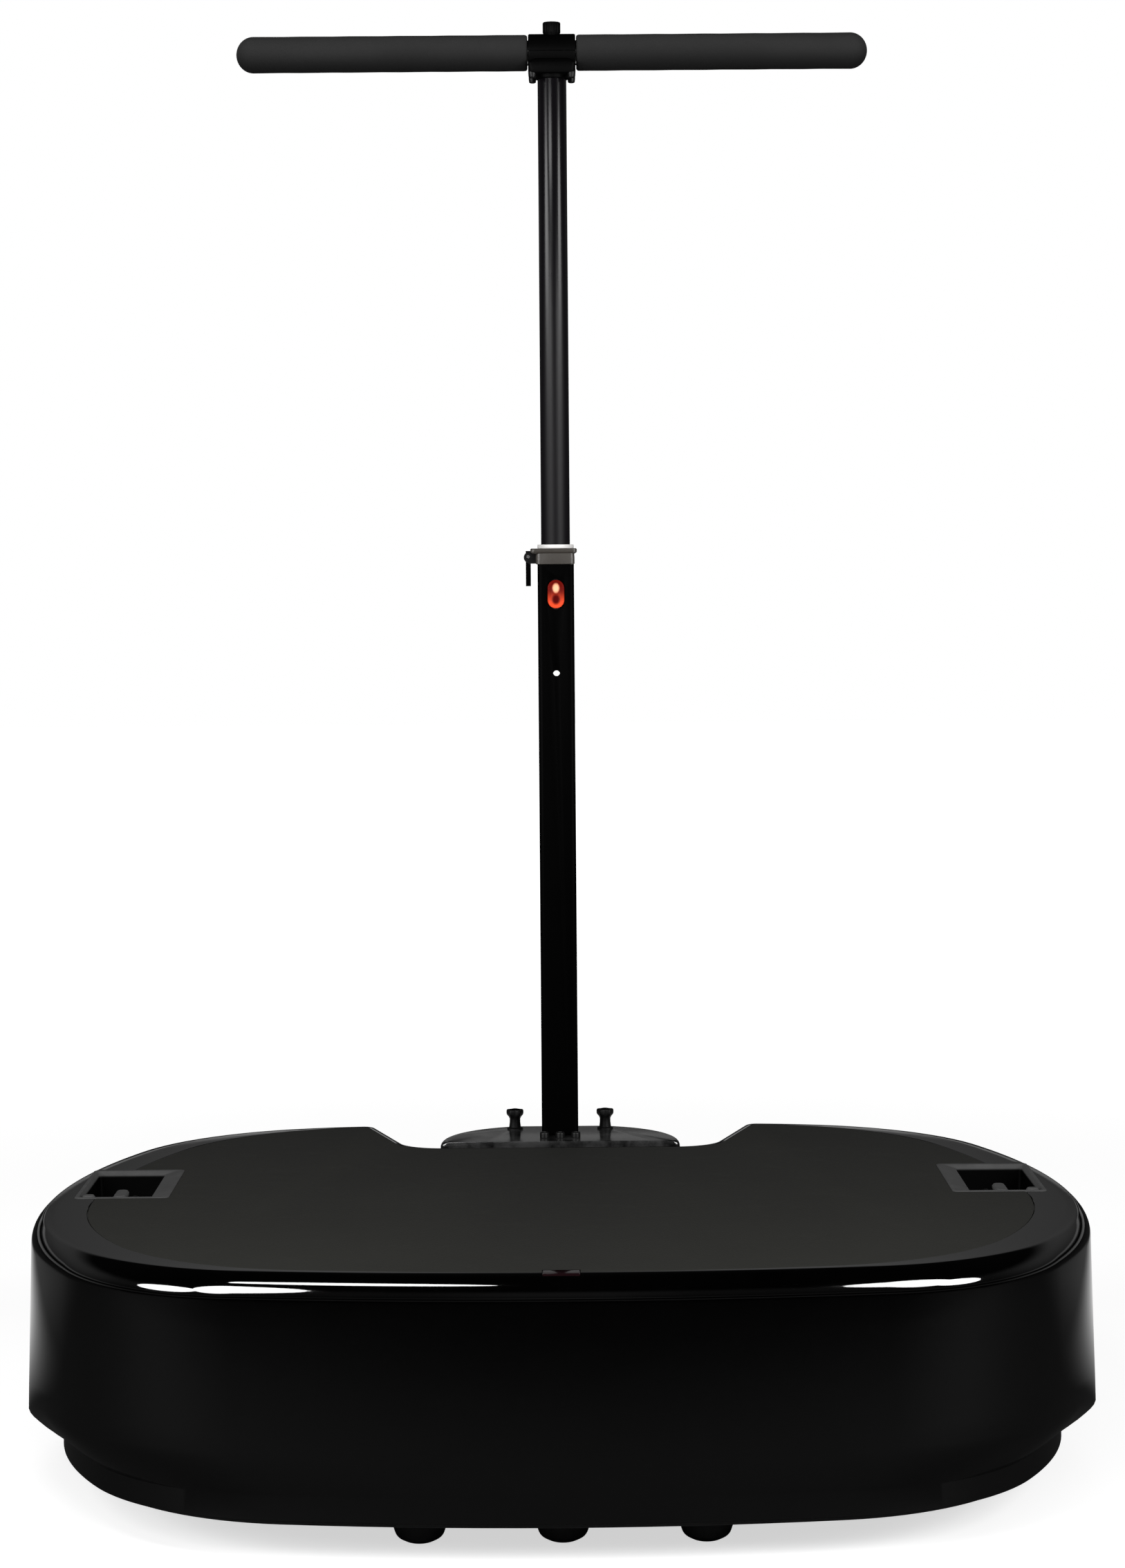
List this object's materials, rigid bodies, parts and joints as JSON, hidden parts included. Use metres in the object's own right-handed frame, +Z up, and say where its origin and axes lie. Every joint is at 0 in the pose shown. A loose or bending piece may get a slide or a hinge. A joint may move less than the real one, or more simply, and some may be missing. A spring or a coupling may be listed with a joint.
{
  "type": "vibration plate",
  "caption": "Wide vibration platform with a rubber mat, gloss black shell and strap wells; a telescopic T-bar handle stands in a notch at the rear.",
  "frame": {"origin": "on the floor under the middle of the platform's outline", "axes": "+Z up, +X to the right of a person who stands on the mat facing the mast, +Y from the front to the mast at the rear"},
  "size_m": [0.84, 0.67, 1.191],
  "materials": {
    "gloss_shell": "piano-black gloss moulding",
    "mat": "matte charcoal rubber",
    "window": "dark infrared plastic",
    "well": "satin black moulding",
    "steel_black": "black powder coat",
    "steel": "zinc-plated steel",
    "rubber": "black rubber",
    "board": "green circuit board",
    "control": "grey folded steel",
    "motor": "grey enamel",
    "brass": "bare brass",
    "black_plastic": "black moulding",
    "tube_satin": "satin black paint",
    "tube_gloss": "gloss black paint",
    "collar": "brown-grey satin metal",
    "nylon": "white nylon",
    "button": "orange-red gloss moulding",
    "foam": "charcoal closed-cell foam"
  },
  "bodies": {
    "base": {"base_pan": "steel_black", "base_rail_front": "steel_black", "base_rail_rear": "steel_black", "bracket_bolts": "steel", "circuit_board": "board", "control_box": "control", "foot_front_left": "rubber", "foot_front_middle": "rubber", "foot_front_right": "rubber", "foot_rear_left": "rubber", "foot_rear_right": "rubber", "foot_side_left": "rubber", "foot_side_right": "rubber", "inlet_pins": "brass", "isolator_front_left": "rubber", "isolator_front_right": "rubber", "isolator_rear_left": "rubber", "isolator_rear_right": "rubber", "lever_pin": "steel", "lower_tube": "tube_satin", "mast_bracket": "steel_black", "mast_collar": "collar", "mast_cover": "gloss_shell", "mast_foot_screws": "steel_black", "nylon_bush": "nylon", "power_inlet": "black_plastic", "switch_bezel": "black_plastic"},
    "platform": {"deck_bolts": "steel", "deck_plate": "steel_black", "deck_rail_front": "steel_black", "deck_rail_rear": "steel_black", "infrared_window": "window", "motor_bearings": "steel", "motor_housing_left": "motor", "motor_housing_right": "motor", "motor_saddle_left": "steel_black", "motor_saddle_right": "steel_black", "platform_shell": "gloss_shell", "rubber_mat": "mat", "strap_bars": "steel", "strap_well_left": "well", "strap_well_right": "well"},
    "rotor_left": {"eccentric_weights_left": "steel", "motor_shaft_left": "steel"},
    "rotor_right": {"eccentric_weights_right": "steel", "motor_shaft_right": "steel"},
    "mast_upper": {"crossbar_tube": "steel_black", "foam_grip_left": "foam", "foam_grip_right": "foam", "hub_cap": "black_plastic", "hub_saddle": "black_plastic", "hub_screws": "steel_black", "nylon_glide": "nylon", "upper_tube": "tube_gloss"},
    "lever": {"lock_lever": "steel_black"},
    "button": {"lock_button": "button"},
    "rocker": {"switch_rocker": "black_plastic"},
    "knob_left": {"thumb_knob_left": "black_plastic"},
    "knob_right": {"thumb_knob_right": "black_plastic"},
    "knob_top": {"top_knob": "black_plastic"}
  },
  "joints": [
    {"name": "platform_shake", "type": "slide", "parent": "base", "child": "platform", "axis": [0, 0, 1], "range_m": [-0.002, 0.002], "stiffness_N_per_m": 400000, "springref_m": 0.00093, "deforming": ["isolator_front_left", "isolator_front_right", "isolator_rear_left", "isolator_rear_right"]},
    {"name": "rotor_left_spin", "type": "hinge", "parent": "platform", "child": "rotor_left", "pos_m": [-0.165, 0, 0.128], "axis": [1, 0, 0], "continuous": true},
    {"name": "rotor_right_spin", "type": "hinge", "parent": "platform", "child": "rotor_right", "pos_m": [0.165, 0, 0.128], "axis": [1, 0, 0], "continuous": true},
    {"name": "mast_extend", "type": "slide", "parent": "base", "child": "mast_upper", "axis": [0, 0, 1], "range_m": [-0.395, 0]},
    {"name": "lever_turn", "type": "hinge", "parent": "base", "child": "lever", "pos_m": [-0.02415, 0.268, 0.72], "axis": [0, 1, 0], "range_deg": [0, 120]},
    {"name": "button_press", "type": "slide", "parent": "base", "child": "button", "axis": [0, 1, 0], "range_m": [0, 0.002], "stiffness_N_per_m": 400, "springref_m": -0.002},
    {"name": "rocker_tip", "type": "hinge", "parent": "base", "child": "rocker", "pos_m": [0.022, 0.304, 0.092], "axis": [1, 0, 0], "range_deg": [-8, 8]},
    {"name": "thumb_knob_left_turn", "type": "hinge", "parent": "base", "child": "knob_left", "pos_m": [-0.04, 0.29, 0.212], "axis": [0, 0, 1], "continuous": true},
    {"name": "thumb_knob_right_turn", "type": "hinge", "parent": "base", "child": "knob_right", "pos_m": [0.04, 0.29, 0.212], "axis": [0, 0, 1], "continuous": true},
    {"name": "top_knob_turn", "type": "hinge", "parent": "mast_upper", "child": "knob_top", "pos_m": [0, 0.268, 1.184], "axis": [0, 0, 1], "continuous": true}
  ],
  "couplings": [
    {"joint": "rotor_right_spin", "follows": "rotor_left_spin", "ratio": -1}
  ]
}
